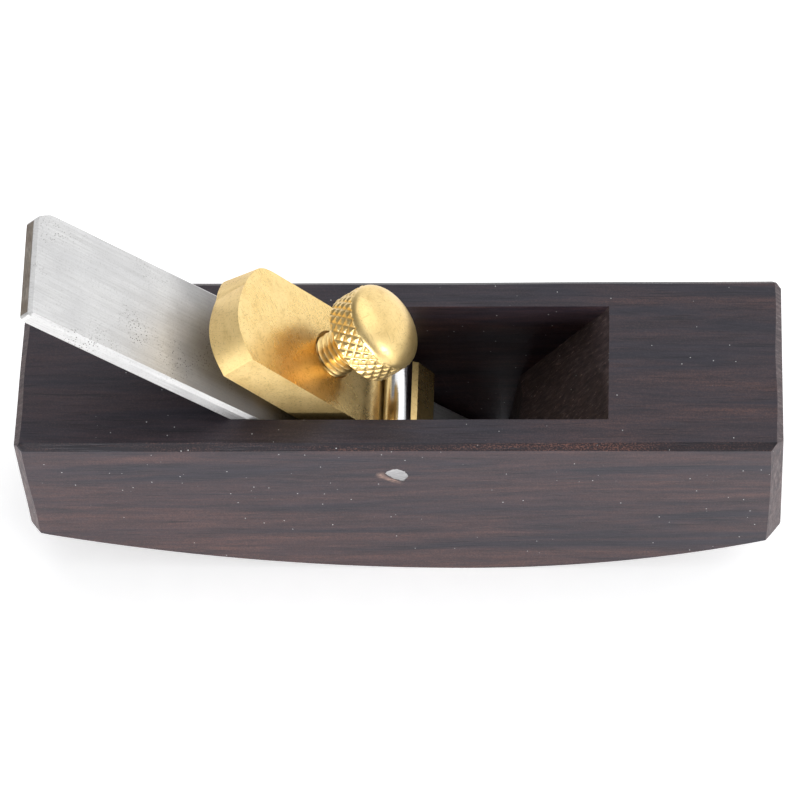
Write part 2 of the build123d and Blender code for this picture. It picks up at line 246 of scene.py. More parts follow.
# ------------------------------------------------------------------ materials
def oiled_ebony():
    """Near-black heartwood, its grain along X: rusty bands and threads, pores, pale specks."""
    paint = Paint("oiled_ebony", IOR=1.47, Specular_Tint=(0.88, 0.89, 1.0, 1.0))
    slant = (0, radians(1.3), radians(0.8))
    band_place = paint.mapped(scale=(16, 235, 235), turn=slant, shift=(0.3, 0.1, 0.2))
    bands = paint.noise(band_place, 5.0, 0.64, 0.9)
    threads = paint.noise(paint.mapped(scale=(95, 1250, 1250), turn=slant), 5.0, 0.70, 0.4)
    hairs = paint.noise(paint.mapped(scale=(300, 4800, 4800), turn=slant), 3.0, 0.6)
    grit = paint.noise(paint.mapped(scale=(4300, 5200, 5200)), 2.0, 0.6)
    rust = paint.times(paint.spans(bands, 0.38, 0.70), 0.72)
    rust = paint.times(rust, paint.spans(threads, 0.34, 0.66, 0.50, 1.20))
    rust = paint.times(rust, paint.spans(hairs, 0.3, 0.7, 0.62, 1.30))
    rust = paint.times(rust, paint.spans(grit, 0.3, 0.7, 0.30, 1.65), clamp=True)
    facing = paint.parts(paint.true_normal())
    on_top = paint.spans(facing["Z"], 0.80, 0.95)
    place = paint.parts()
    # Painted shade: on the top, towards the heel where the iron leans over it, the rusty streaks are
    # damped, so the wood is darker there.
    heel_shade = paint.times(on_top, paint.spans(place["X"], 0.030, 0.012))
    heel_shade_share = paint.maths("SUBTRACT", 1.0, paint.times(heel_shade, 0.45))
    rust = paint.times(rust, heel_shade_share)
    slate = paint.ramp(threads, (0.34, (0.0085, 0.0065, 0.0100)), (0.66, (0.0205, 0.0160, 0.0230)))
    # Painted sheen: faces that look up are made lighter than the sides.
    slate = paint.mix(on_top, slate, (1.30, 1.30, 1.25), "MULTIPLY")
    wood = paint.mix(rust, slate, (0.100, 0.046, 0.036))
    wood = paint.mix(paint.spans(grit, 0.52, 0.72, 0.0, 0.22), wood, (0.075, 0.065, 0.066))
    pores = paint.noise(paint.mapped(scale=(150, 4600, 4600), shift=(0.4, 0.0, 0.7)), 2.0, 0.5)
    open_pores = paint.spans(pores, 0.60, 0.72)
    wood = paint.mix(paint.times(open_pores, 0.6), wood, (0.004, 0.003, 0.003))
    # Painted shade: the long chamfers of the top are nearly black.
    sloping = paint.spans(facing["Z"], 0.45, 0.60)
    sloping = paint.times(sloping, paint.spans(facing["Z"], 0.92, 0.82))
    lengthwise = paint.spans(paint.maths("ABSOLUTE", facing["X"]), 0.30, 0.18)
    sloping = paint.times(sloping, lengthwise)
    speckle = paint.times(paint.spans(grit, 0.46, 0.64), paint.spans(bands, 0.42, 0.60))
    chamfer_shade = paint.mix(paint.times(speckle, 0.85), (0.30, 0.28, 0.27), (1.8, 1.4, 1.1))
    wood = paint.mix(sloping, wood, chamfer_shade, "MULTIPLY")
    # Faces that look along X get a lighter, rougher end grain.
    end_grain = paint.spans(paint.maths("ABSOLUTE", facing["X"]), 0.55, 0.74)
    torn = paint.noise(paint.mapped(scale=(900, 2400, 420)), 4.0, 0.7)
    dark_end = (0.3, (0.046, 0.039, 0.044))
    brown_end = (0.52, (0.125, 0.094, 0.091))
    pale_end = (0.72, (0.27, 0.225, 0.215))
    ends = paint.ramp(torn, dark_end, brown_end, pale_end)
    wood = paint.mix(paint.times(end_grain, 0.75), wood, ends)
    # Painted shade inside the mortise: its end grain is darkened and its cheeks a little
    # lightened, with a few paler fibres.
    from_middle = paint.maths("ABSOLUTE", place["Y"])
    between_cheeks = paint.spans(from_middle, MORTISE_HALF + 0.7 * MM, MORTISE_HALF + 0.5 * MM)
    behind_toe = paint.spans(place["X"], THROAT_TOP_X + 0.4 * MM, THROAT_TOP_X)
    not_heel = paint.spans(place["X"], BED_TOP_X - 0.4 * MM, BED_TOP_X)
    off_top = paint.maths("SUBTRACT", 1.0, on_top)
    inside = paint.times(paint.times(between_cheeks, behind_toe), not_heel)
    inside = paint.times(inside, off_top, clamp=True)
    fibre_place = paint.mapped(scale=(1500, 3800, 300), turn=(0.2, 0, 0))
    fibres = paint.spans(paint.noise(fibre_place, 3.0, 0.7), 0.60, 0.70)
    shade = paint.mix(end_grain, (1.10, 1.00, 1.02), (0.50, 0.45, 0.45))
    shade = paint.mix(paint.times(fibres, end_grain), shade, (2.3, 2.1, 2.0))
    wood = paint.mix(inside, wood, shade, "MULTIPLY")
    # Tan smears lie round the near end of the pin: a tip at its left, and a strip along its
    # lower edge.
    near_only = paint.spans(place["Y"], -HALF_WIDTH + 0.6 * MM, -HALF_WIDTH + 0.3 * MM)
    ragged = paint.noise(paint.mapped(scale=(1500, 1500, 2600)), 4.0, 0.6)
    for off_x, off_z, long_way, short_way, lean in SMEARS:
        moved = paint.mapped(shift=(-(PIN_X + off_x * MM), 0, -(PIN_Z + off_z * MM)))
        stretch = (1 / (long_way * MM), 0, 1 / (short_way * MM))
        oval = paint.mapped(scale=stretch, turn=(0, radians(lean), 0), source=moved)
        reach = paint.node("ShaderNodeVectorMath", operation="LENGTH")
        paint.join(oval, reach.inputs[0])
        smear = paint.spans(reach.outputs["Value"], 1.25, 0.35)
        smear = paint.times(smear, paint.spans(ragged, 0.30, 0.62))
        smear = paint.times(smear, near_only, clamp=True)
        wood = paint.mix(paint.times(smear, 0.75), wood, (0.32, 0.20, 0.155))
    dust_cells = paint.cells(paint.place, 560.0)
    dust = paint.spans(dust_cells, 0.058, 0.030)
    wood = paint.mix(dust, wood, (0.50, 0.50, 0.50))
    rough = paint.spans(hairs, 0.2, 0.8, 0.36, 0.54)
    rough = paint.maths("ADD", rough, paint.times(end_grain, 0.12))
    height = paint.maths("SUBTRACT", paint.times(hairs, 0.6), open_pores)
    surface = paint.bump(height, 0.014 * MM, 0.9)
    planing = paint.noise(paint.mapped(scale=(30, 160, 160)), 2.0)
    surface = paint.bump(planing, 0.10 * MM, 0.25, surface)
    tearing = paint.times(torn, end_grain)
    surface = paint.bump(tearing, 0.09 * MM, 1.0, surface)
    return paint.finish(wood, rough, surface)


def ground_steel():
    """Iron: satin steel with the grinding lines along its length and clusters of dark pits."""
    paint = Paint("ground_steel", Metallic=1.0)
    turn = (0, atan2(-IRON_UP.x, IRON_UP.z), 0)
    lines = paint.noise(paint.mapped(scale=(2600, 3600, 110), turn=turn), 3.0, 0.6)
    broad = paint.noise(paint.mapped(scale=(700, 900, 40), turn=turn), 2.0, 0.5)
    cloud = paint.noise(paint.mapped(170), 4.0, 0.55)
    grit = paint.noise(paint.mapped(4200), 2.0, 0.6)
    steel = paint.ramp(cloud, (0.3, (0.60, 0.595, 0.595)), (0.7, (0.71, 0.705, 0.70)))
    steel = paint.mix(paint.spans(lines, 0.40, 0.72, 0.0, 0.40), steel, (0.45, 0.44, 0.435))
    steel = paint.mix(paint.spans(broad, 0.45, 0.70, 0.0, 0.15), steel, (0.50, 0.49, 0.48))
    steel = paint.mix(paint.spans(grit, 0.55, 0.80, 0.0, 0.45), steel, (0.30, 0.29, 0.28))
    pit_cells = paint.cells(paint.place, 2700.0)
    pit_patch = paint.noise(paint.mapped(150, shift=(0.7, 0.2, 0.1)), 2.0)
    pits = paint.times(paint.spans(pit_cells, 0.30, 0.16), paint.spans(pit_patch, 0.52, 0.66))
    steel = paint.mix(paint.times(pits, 0.8), steel, (0.10, 0.09, 0.08))
    # Painted shadow of the cap: a darker, less metallic band runs from under the cap to a little
    # past its upper end.  It is painted into the steel, so it stays with the iron when the iron slides.
    up_iron = paint.along(IRON_UP, paint.place)
    wander = paint.times(paint.maths("SUBTRACT", cloud, 0.5), 6.0 * MM)
    ragged_reach = paint.maths("ADD", up_iron, wander)
    cap_shade_none = CAP_END_ON_IRON + CAP_SHADE_NONE_ABOVE
    film_and_shade = paint.spans(ragged_reach, cap_shade_none, CAP_END_ON_IRON - CAP_SHADE_FULL_BELOW)
    upper_face = Vector((-IRON_UP.x, 0, IRON_UP.z)).normalized()
    above = paint.along(upper_face, paint.true_normal())
    film_and_shade = paint.times(film_and_shade, paint.spans(above, 0.90, 0.98))
    cap_shade_starts = CAP_END_ON_IRON - CAP_SHADE_NONE_BELOW
    faded = paint.spans(up_iron, cap_shade_starts, CAP_END_ON_IRON - CAP_SHADE_FADES_BELOW)
    film_and_shade = paint.times(film_and_shade, faded)
    steel = paint.mix(paint.times(film_and_shade, 0.60), steel, (0.130, 0.124, 0.128))
    shine = paint.maths("SUBTRACT", 1.0, paint.times(film_and_shade, 0.50))
    rough = paint.spans(cloud, 0.25, 0.75, 0.46, 0.56)
    rough = paint.maths("ADD", rough, paint.times(pits, 0.25))
    surface = paint.bump(lines, 0.012 * MM, 0.9)
    surface = paint.bump(pits, -0.02 * MM, 0.5, surface)
    return paint.finish(steel, rough, surface, shine)


def sawn_steel():
    """The iron's tail end: slanted scratches under a brown film."""
    paint = Paint("sawn_steel", Metallic=1.0)
    scratch_place = paint.mapped(scale=(5200, 900, 500), turn=(0.5, 0.3, 0.0))
    scratches = paint.noise(scratch_place, 3.0, 0.6)
    film_and_shade = paint.noise(paint.mapped(420), 3.0)
    colour = paint.ramp(scratches, (0.35, (0.20, 0.17, 0.14)), (0.7, (0.43, 0.38, 0.33)))
    colour = paint.mix(paint.spans(film_and_shade, 0.4, 0.7, 0.0, 0.5), colour, (0.16, 0.11, 0.075))
    rough = paint.spans(scratches, 0.3, 0.7, 0.42, 0.6)
    return paint.finish(colour, rough, paint.bump(scratches, 0.03 * MM, 0.9))


def brass(name, roughness, scratch_share, metallic, groove_attribute=None, fine_face=None):
    """Brass, with fine scratches, small dark pits and stains.  fine_face is the direction of a
    face that is smoother and more metallic than the rest."""
    paint = Paint(name)
    cloud = paint.noise(paint.mapped(150), 4.0, 0.6)
    colour = paint.ramp(cloud, (0.3, (0.81, 0.570, 0.225)), (0.72, (0.94, 0.710, 0.330)))
    stain = paint.noise(paint.mapped(620, shift=(0.2, 0.8, 0.4)), 6.0, 0.78)
    colour = paint.mix(paint.spans(stain, 0.50, 0.76, 0.0, 0.50), colour, (0.50, 0.30, 0.085))
    hairs_one = paint.noise(paint.mapped(scale=(240, 4200, 4200), turn=(0.2, 0.6, 0.5)), 2.0, 0.6)
    hairs_two = paint.noise(paint.mapped(scale=(4200, 320, 4200), turn=(0.5, 0.2, 0.9)), 2.0, 0.6)
    hairs_three = paint.noise(paint.mapped(scale=(4200, 4200, 260), turn=(0.9, 0.3, 0.1)), 2.0, 0.6)
    scratches = paint.spans(hairs_one, 0.61, 0.68)
    scratches = paint.maths("MAXIMUM", scratches, paint.spans(hairs_two, 0.61, 0.68))
    scratches = paint.maths("MAXIMUM", scratches, paint.spans(hairs_three, 0.61, 0.68))
    scratches = paint.times(scratches, scratch_share)
    pit_cells = paint.cells(paint.place, 2600.0)
    pit_patch = paint.noise(paint.mapped(210), 2.0)
    pits = paint.times(paint.spans(pit_cells, 0.22, 0.10), paint.spans(pit_patch, 0.50, 0.62))
    colour = paint.mix(paint.times(pits, 0.75), colour, (0.20, 0.11, 0.04))
    colour = paint.mix(paint.times(scratches, 0.50), colour, (0.48, 0.32, 0.12))
    if groove_attribute:
        groove = paint.node("ShaderNodeAttribute", attribute_name=groove_attribute).outputs["Fac"]
        colour = paint.mix(paint.spans(groove, 0.45, 1.0, 0.0, 0.38), colour, (0.34, 0.19, 0.055))
    grain = paint.noise(paint.mapped(900), 4.0, 0.65)
    rough = paint.spans(cloud, 0.25, 0.75, roughness - 0.04, roughness + 0.06)
    rough = paint.maths("ADD", rough, paint.times(paint.maths("ADD", pits, stain), 0.08))
    if fine_face:
        fine = paint.spans(paint.along(fine_face, paint.true_normal()), 0.90, 0.99)
        rough = paint.maths("SUBTRACT", rough, paint.times(fine, 0.13))
        shine = paint.maths("ADD", metallic, paint.times(fine, 0.94 - metallic))
    else:
        shine = None
        paint.shader.inputs["Metallic"].default_value = metallic
    surface = paint.bump(paint.maths("ADD", scratches, pits), -0.012 * MM, 0.6)
    surface = paint.bump(grain, 0.012 * MM, 0.45, surface)
    return paint.finish(colour, rough, surface, shine)


def polished_rod():
    """Cross pin: a bright rod with faint marks round it and duller, flat ends."""
    paint = Paint("polished_rod", Metallic=1.0)
    rings = paint.noise(paint.mapped(scale=(400, 5000, 400)), 3.0, 0.6)
    filing = paint.noise(paint.mapped(scale=(700, 700, 5600), turn=(0, 0.35, 0)), 3.0, 0.6)
    facing = paint.parts(paint.true_normal())["Y"]
    end_face = paint.spans(paint.maths("ABSOLUTE", facing), 0.6, 0.9)
    colour = paint.ramp(rings, (0.3, (0.60, 0.60, 0.61)), (0.7, (0.70, 0.70, 0.705)))
    filed = paint.ramp(filing, (0.3, (0.34, 0.335, 0.34)), (0.7, (0.50, 0.495, 0.50)))
    colour = paint.mix(end_face, colour, filed)
    rough = paint.spans(rings, 0.3, 0.7, 0.12, 0.20)
    rough = paint.maths("ADD", rough, paint.times(end_face, 0.30))
    marks = paint.mix(end_face, paint.times(rings, 0.3), filing)
    return paint.finish(colour, rough, paint.bump(marks, 0.008 * MM, 0.7))


def paper_white():
    """The floor: matt white card."""
    paint = Paint("paper_white", Emission_Color=(1.0, 1.0, 1.0, 1.0), Emission_Strength=0.47)
    fibre = paint.noise(paint.mapped(300), 3.0)
    colour = paint.ramp(fibre, (0.3, (0.90, 0.90, 0.90)), (0.7, (0.93, 0.93, 0.93)))
    rough = paint.spans(fibre, 0.0, 1.0, 0.85, 0.95)
    return paint.finish(colour, rough, paint.bump(fibre, 0.02 * MM, 0.2))


# ------------------------------------------------------------------ mesh tools
def add_piece(name, mesh, *materials):
    piece = bpy.data.objects.new(name, mesh)
    bpy.context.scene.collection.objects.link(piece)
    mesh.materials.clear()
    for material in materials:
        mesh.materials.append(material)
    return piece


def mesh_of(name, work):
    mesh = bpy.data.meshes.new(name)
    work.to_mesh(mesh)
    work.free()
    return mesh


def settled(piece):
    """The piece as one plain mesh, with its modifiers worked out and removed."""
    depsgraph = bpy.context.evaluated_depsgraph_get()
    depsgraph.update()
    mesh = bpy.data.meshes.new_from_object(piece.evaluated_get(depsgraph))
    piece.modifiers.clear()
    old = piece.data
    piece.data = mesh
    bpy.data.meshes.remove(old)
    return piece


def in_mortise(point):
    """Whether a point is on the chiselled cheeks, where every facet keeps its edge."""
    on_cheek = MORTISE_HALF - 0.1 * MM < abs(point.y) < MORTISE_HALF + 0.6 * MM
    return on_cheek and point.z < STOCK_TOP - 0.5 * MM and BED_TOP_X < point.x < THROAT_TOP_X


def shade_by_angle(piece, degrees_between, keep_sharp=None):
    """Smooth shading, sharp only where two faces meet at more than this."""
    work = bmesh.new()
    work.from_mesh(piece.data)
    limit = radians(degrees_between)
    for face in work.faces:
        face.smooth = True
    for edge in work.edges:
        edge.smooth = len(edge.link_faces) == 2 and edge.calc_face_angle(pi) < limit
        if keep_sharp and all(keep_sharp(vertex.co) for vertex in edge.verts):
            edge.smooth = False
    work.to_mesh(piece.data)
    work.free()
    return piece


def soften(piece, width, segments=3, angle=25.0):
    """Rounds every sharp edge a little, as a worked edge is."""
    bevel = piece.modifiers.new("edge_break", "BEVEL")
    bevel.width = width
    bevel.segments = segments
    bevel.limit_method = "ANGLE"
    bevel.angle_limit = radians(angle)
    bevel.harden_normals = False
    bevel.miter_outer = "MITER_ARC"
    settled(piece)


def worked_copy(node, name, edge_width, *materials):
    """A copy of a CAD node, its loose triangles merged and its edges softened."""
    work = bmesh.new()
    work.from_mesh(frame["nodes"][node].data)
    bmesh.ops.remove_doubles(work, verts=work.verts, dist=0.0005 * MM)
    bmesh.ops.dissolve_limit(work, angle_limit=radians(0.4), verts=work.verts, edges=work.edges)
    piece = add_piece(name, mesh_of(name, work), *materials)
    soften(piece, edge_width)
    return even_shading(shade_by_angle(piece, 28.0))


def even_shading(piece):
    """Lets the big flat faces keep flat normals, beside the small faces of their edges."""
    weighting = piece.modifiers.new("even_shading", "WEIGHTED_NORMAL")
    weighting.weight = 100
    weighting.keep_sharp = True
    return settled(piece)


def cut_away(piece, cutter, operation="DIFFERENCE"):
    """Takes the cutter's solid out of the piece, or keeps only what lies inside it."""
    boolean = piece.modifiers.new("cut", "BOOLEAN")
    boolean.operation = operation
    boolean.solver = "EXACT"
    boolean.object = cutter
    settled(piece)
    bpy.data.objects.remove(cutter)


def ringed_solid(name, rings):
    """A closed solid from equal rings of points, each joined to the next, with flat ends."""
    work = bmesh.new()
    rows = [[work.verts.new(point) for point in ring] for ring in rings]
    count = len(rows[0])
    for row, after in zip(rows, rows[1:]):
        for k in range(count):
            work.faces.new((row[k], row[(k + 1) % count], after[(k + 1) % count], after[k]))
    work.faces.new(rows[0])
    work.faces.new(reversed(rows[-1]))
    bmesh.ops.recalc_face_normals(work, faces=work.faces)
    return mesh_of(name, work)


# ------------------------------------------------------------------ stock
def sole_height(x):
    radius = SOLE_RADIUS_TOE if x > SOLE_LOW_X else SOLE_RADIUS_HEEL
    return radius - sqrt(radius**2 - (x - SOLE_LOW_X) ** 2)


def corner_chamfer(z, end, side):
    """How wide an upright corner's chamfer is at a height: cut by hand, so it wanders."""
    up = z / STOCK_TOP
    above_sole = max(0.0, z - sole_height(HALF_LENGTH * end))
    worn = CHAMFER_WEAR * max(0.0, 1.0 - above_sole / WEAR_HEIGHT) ** 2
    if end > 0 and side < 0:
        return NEAR_TOE_CHAMFER * (1.12 - 0.20 * up + 0.05 * sin(7.0 * up)) + worn
    return CORNER_CHAMFER * (1.0 + 0.12 * sin(5.2 * up + 1.7 * side) - 0.10 * cos(8.3 * up)) + worn


def top_chamfer(x, side):
    """How wide the top edge's chamfer is along the stock."""
    return TOP_CHAMFER * (1.0 + 0.07 * sin(61.0 * x + 2.0 * side) + 0.04 * sin(190.0 * x))


def foot_height(x):
    """The sole's height, with its two ends rounded up into the end faces."""
    short_of_end = HALF_LENGTH - abs(x)
    lift = 0.0
    if short_of_end < SOLE_END_ROUND:
        share = 1 - short_of_end / SOLE_END_ROUND
        lift = SOLE_END_LIFT * (1 - sqrt(max(0.0, 1 - share**2)))
    return sole_height(x) + lift


def stock_ring(x):
    """One closed section of the stock, with the long chamfers of its top edges."""
    levels = 9
    foot = foot_height(x)
    ring = []
    for side in (-1, 1):
        chamfer = top_chamfer(x, side)
        shoulder = STOCK_TOP - chamfer
        heights = [foot + (shoulder - foot) * k / (levels - 1) for k in range(levels)]
        cheek = [Vector((x, side * HALF_WIDTH, z)) for z in heights]
        cheek.append(Vector((x, side * (HALF_WIDTH - chamfer), STOCK_TOP)))
        ring += cheek if side < 0 else cheek[::-1]
    return ring


def ebony_block():
    """The stock before its ends are chamfered and its mortise is cut."""
    step = 2.5 * MM
    end_angles = (0, 22.5, 45, 67.5)
    near_end = [HALF_LENGTH - SOLE_END_ROUND * (1 - cos(radians(angle))) for angle in end_angles]
    count = int(2 * HALF_LENGTH / step)
    inner = HALF_LENGTH - SOLE_END_ROUND
    stations = [-x for x in near_end]
    stations += [-inner + 2 * inner * k / count for k in range(count + 1)]
    stations += near_end[::-1]
    return ringed_solid("ebony_stock", [stock_ring(x) for x in stations])


def chamfer_cutter(name, corners):
    """A long wedge that pares a corner off.  Each entry of corners is the corner's point, the
    two directions pointing away from the wood, and the chamfer's width there."""
    spare = 1.0 * MM
    rings = []
    for point, first, second, width in corners:
        rings.append([
            point - first * (width + spare) + second * spare,
            point - second * (width + spare) + first * spare,
            point + (first + second) * 2 * spare,
        ])
    return add_piece(name, ringed_solid(name, rings))


def chamfer_ends(piece):
    """The upright corners and the top's two end edges, each pared by hand."""
    spare = 1.0 * MM
    steps = 40
    for end in (-1, 1):
        for side in (-1, 1):
            corners = []
            for k in range(steps + 1):
                z = -spare + (STOCK_TOP + 2 * spare) * k / steps
                corner = Vector((end * HALF_LENGTH, side * HALF_WIDTH, z))
                width = corner_chamfer(z, end, side)
                corners.append((corner, Vector((end, 0, 0)), Vector((0, side, 0)), width))
            cut_away(piece, chamfer_cutter("corner_cutter", corners))
        corners = []
        for k in range(steps + 1):
            y = -HALF_WIDTH - spare + 2 * (HALF_WIDTH + spare) * k / steps
            width = TOP_CHAMFER * (1.0 + 0.10 * sin(410.0 * y + end))
            edge = Vector((end * HALF_LENGTH, y, STOCK_TOP))
            corners.append((edge, Vector((end, 0, 0)), Vector((0, 0, 1)), width))
        cut_away(piece, chamfer_cutter("top_end_cutter", corners))


def mortise_cutter():
    """What the chisel took out: the bed, the sloped throat wall and two faceted cheeks."""
    chance = random.Random(11)
    below = -3.0 * MM
    above = STOCK_TOP + 3.0 * MM
    under_rim = STOCK_TOP - 0.8 * MM
    levels = [above, STOCK_TOP + 0.5 * MM, under_rim]
    depth_steps = 4
    levels += [under_rim - (under_rim - THROAT_BREAK_Z) * k / depth_steps for k in range(1, depth_steps)]
    levels += [THROAT_BREAK_Z, THROAT_BREAK_Z * 0.66, THROAT_BREAK_Z * 0.33, 0.6 * MM, below]
    slope = (THROAT_TOP_X - THROAT_BREAK_X) / (STOCK_TOP - THROAT_BREAK_Z)
    columns = 7
    rows_across = 6
    rings = []
    for z in levels:
        bed_x = BED_TOP_X + (STOCK_TOP - z)
        if z > THROAT_BREAK_Z:
            front_x = THROAT_TOP_X + (z - STOCK_TOP) * slope
            front_x = THROAT_TOP_X if z > STOCK_TOP else front_x
        elif z > 0:
            share = (THROAT_BREAK_Z - z) / THROAT_BREAK_Z
            front_x = THROAT_BREAK_X + (MOUTH_FRONT_X - THROAT_BREAK_X) * share
        else:
            front_x = MOUTH_FRONT_X
        # The facets all but fade out at the rim and at the sole, where the edges run true.
        near_open_end = z > STOCK_TOP - 1.0 * MM or z < 1.0 * MM
        facet = CHISEL_FACET * (0.12 if near_open_end else 1.0)
        ring = []
        for side in (-1, 1):
            cheek = []
            for k in range(columns + 1):
                share = k / columns
                x = bed_x + (front_x - bed_x) * share
                push = facet * chance.random() if 0 < k < columns else facet * 0.3
                cheek.append(Vector((x, side * (MORTISE_HALF + push), z)))
            ring += cheek if side < 0 else cheek[::-1]
            if side < 0:
                for k in range(1, rows_across):
                    y = MORTISE_HALF * (-1 + 2 * k / rows_across)
                    ring.append(Vector((front_x + facet * chance.random(), y, z)))
        rings.append(ring)
    return add_piece("mortise_cutter", ringed_solid("mortise_cutter", rings))


def round_bar(name, centre_x, centre_z, radius, low_y, high_y, sides):
    """A round bar lying along Y."""
    rings = []
    for y in (low_y, high_y):
        ring = []
        for k in range(sides):
            turn = 2 * pi * k / sides
            ring.append(Vector((centre_x + radius * cos(turn), y, centre_z + radius * sin(turn))))
        rings.append(ring)
    return ringed_solid(name, rings)


# The pin's bright end shows through this ragged opening, in mm from the pin's axis.  A thin
# skin of wood covers the rest of it.
PIN_WINDOW = [
    (-1.30, 0.65), (-0.95, 1.20), (-0.25, 1.74), (0.45, 1.82), (0.95, 1.58),
    (1.42, 1.18), (1.82, 0.38), (1.84, -0.30), (1.52, -0.95), (1.10, -1.48),
    (0.45, -1.18), (-0.10, -0.85), (-0.60, -0.35), (-1.00, 0.10),
]
PIN_RAGGED = 0.06
SKIN = 0.05 * MM


def pin_window():
    """The cutter for the ragged opening: each side in three short, uneven steps."""
    chance = random.Random(5)
    ragged = []
    for (x, z), (next_x, next_z) in zip(PIN_WINDOW, PIN_WINDOW[1:] + PIN_WINDOW[:1]):
        for share in (0.0, 0.33, 0.67):
            off_x = chance.uniform(-PIN_RAGGED, PIN_RAGGED)
            off_z = chance.uniform(-PIN_RAGGED, PIN_RAGGED)
            ragged.append((x + (next_x - x) * share + off_x, z + (next_z - z) * share + off_z))
    rings = []
    for y in (-HALF_WIDTH - MM, -HALF_WIDTH + 2 * SKIN):
        rings.append([Vector((PIN_X + x * MM, y, PIN_Z + z * MM)) for x, z in ragged])
    return add_piece("pin_window", ringed_solid("pin_window", rings))


def make_stock(material):
    piece = add_piece("ebony_stock", ebony_block(), material)
    chamfer_ends(piece)
    cut_away(piece, mortise_cutter())
    hole = round_bar("pin_hole", PIN_X, PIN_Z, PIN_RADIUS, -HALF_WIDTH + SKIN, HALF_WIDTH + MM, 72)
    cut_away(piece, add_piece("pin_hole", hole))
    soften(piece, STOCK_EDGE_BREAK, 3, 30.0)
    cut_away(piece, pin_window())
    even_shading(shade_by_angle(piece, 22.0, in_mortise))
    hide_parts("stock")
    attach(piece, "root")


# ------------------------------------------------------------------ pin and iron
def make_pin(material):
    radius = PIN_RADIUS - 0.01 * MM
    near_end = -HALF_WIDTH + 1.2 * SKIN
    far_end = HALF_WIDTH - 0.2 * SKIN
    bar = round_bar("steel_cross_pin", PIN_X, PIN_Z, radius, near_end, far_end, 96)
    piece = add_piece("steel_cross_pin", bar, material)
    soften(piece, PIN_EDGE_BREAK, 2, 60.0)
    shade_by_angle(piece, 30.0)
    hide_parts("cross_pin")
    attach(piece, "root")


def make_iron(face, tail):
    piece = worked_copy("iron", "plane_iron", IRON_EDGE_BREAK, face, tail)
    for polygon in piece.data.polygons:
        faces_tail = polygon.normal.dot(IRON_UP) > 0.9
        if faces_tail and polygon.area > 5 * MM * MM:
            polygon.material_index = 1
    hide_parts("iron")
    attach(piece, "iron")


# The lever cap's own sizes in mm, as its solid has them.  "Along" runs up the cap from the
# pin, "rise" stands square to its upper face, and "across" runs towards the near cheek.
CAP_ANGLE = radians(49.5)
CAP_UP = Vector((-cos(CAP_ANGLE), 0, sin(CAP_ANGLE)))
CAP_NORMAL = Vector((sin(CAP_ANGLE), 0, cos(CAP_ANGLE)))
CAP_THICKNESS = 5.9
CAP_BLANK_ALONG = 31.0
PIN_RISE = 0.46
CAP_NEAR_SIDE = 8.025
CAP_FAR_SIDE = -7.625
CAP_CROWN = [
    (27.45, 8.025), (29.55, 5.6), (30.6, 2.8), (30.4, -0.7),
    (29.6, -3.4), (28.4, -5.6), (27.0, -7.05), (24.6, -7.625),
]
# Leans per mm of rise, which the solid doesn't have: the crown's near half goes a little
# under square, and its far half spreads towards the iron.
CROWN_LEAN = 0.06
FAR_LEAN = -0.17
FAR_LEAN_STARTS = -3.0
FAR_LEAN_RUN = 4.6
CROWN_STARTS_ALONG = 15.0
CROWN_RUN = 10.0
ROLL_OFF_ALONG = 6.6
GROOVE_CENTRE = (-1.25, 4.783)
GROOVE_RADIUS = 6.5
GROOVE_HALF = 3.75
CAP_NOSE = [(-8.6, -0.826), (-9.1, -1.326), (-9.1, -6.795), (-8.6, -7.334), (-8.0, -7.381), (-7.2, -5.9)]
HOLE_RADIUS = 3.225
HOLE_RIM_RADIUS = 3.45


def smooth_through(points, steps):
    """Points along a natural cubic spline through the given ones, evenly many between each."""
    count = len(points)
    lengths = [max(sqrt((b[0] - a[0]) ** 2 + (b[1] - a[1]) ** 2), 1e-9) for a, b in zip(points, points[1:])]
    second = []
    for axis in (0, 1):
        value = [point[axis] for point in points]
        slope = [0.0] * count
        carry = [0.0] * count
        for k in range(1, count - 1):
            before = lengths[k - 1]
            after = lengths[k]
            pivot = 2 * (before + after) - before * slope[k - 1]
            slope[k] = after / pivot
            rate = (value[k + 1] - value[k]) / after - (value[k] - value[k - 1]) / before
            carry[k] = (6 * rate - before * carry[k - 1]) / pivot
        bend = [0.0] * count
        for k in range(count - 2, 0, -1):
            bend[k] = carry[k] - slope[k] * bend[k + 1]
        second.append(bend)
    curve = []
    for k, reach in enumerate(lengths):
        for step in range(steps):
            t = step / steps
            u = 1 - t
            spot = []
            for axis in (0, 1):
                low, high = second[axis][k], second[axis][k + 1]
                lift = ((u**3 - u) * low + (t**3 - t) * high) * reach**2 / 6
                spot.append(u * points[k][axis] + t * points[k + 1][axis] + lift)
            curve.append(tuple(spot))
    return curve + [points[-1]]


def cap_point(along, across, rise):
    pin = (PIN_LOW + PIN_HIGH) / 2
    origin = Vector((pin.x, 0, pin.z)) - CAP_NORMAL * PIN_RISE * MM
    return origin + CAP_UP * along * MM + CAP_NORMAL * rise * MM + Vector((0, -across * MM, 0))


def cap_profile():
    """The cap's side view: flat top, rolled down into the pin's groove, nose and toe."""
    turns = 16
    groove_edge = GROOVE_CENTRE[0] + GROOVE_HALF
    groove_turn = asin(GROOVE_HALF / GROOVE_RADIUS)
    drop = GROOVE_RADIUS * cos(groove_turn) - GROOVE_CENTRE[1]
    run = ROLL_OFF_ALONG - groove_edge
    roll_radius = (run**2 + drop**2) / (2 * drop)
    roll_turn = asin(run / roll_radius)
    outline = [(CAP_BLANK_ALONG, 0.0)]
    for k in range(turns):
        turn = roll_turn * k / turns
        outline.append((ROLL_OFF_ALONG - roll_radius * sin(turn), roll_radius * (cos(turn) - 1)))
    for k in range(turns + 1):
        turn = groove_turn * (1 - 2 * k / turns)
        along = GROOVE_CENTRE[0] + GROOVE_RADIUS * sin(turn)
        rise = GROOVE_CENTRE[1] - GROOVE_RADIUS * cos(turn)
        outline.append((along, rise))
    return outline + CAP_NOSE + [(CAP_BLANK_ALONG, -CAP_THICKNESS)]


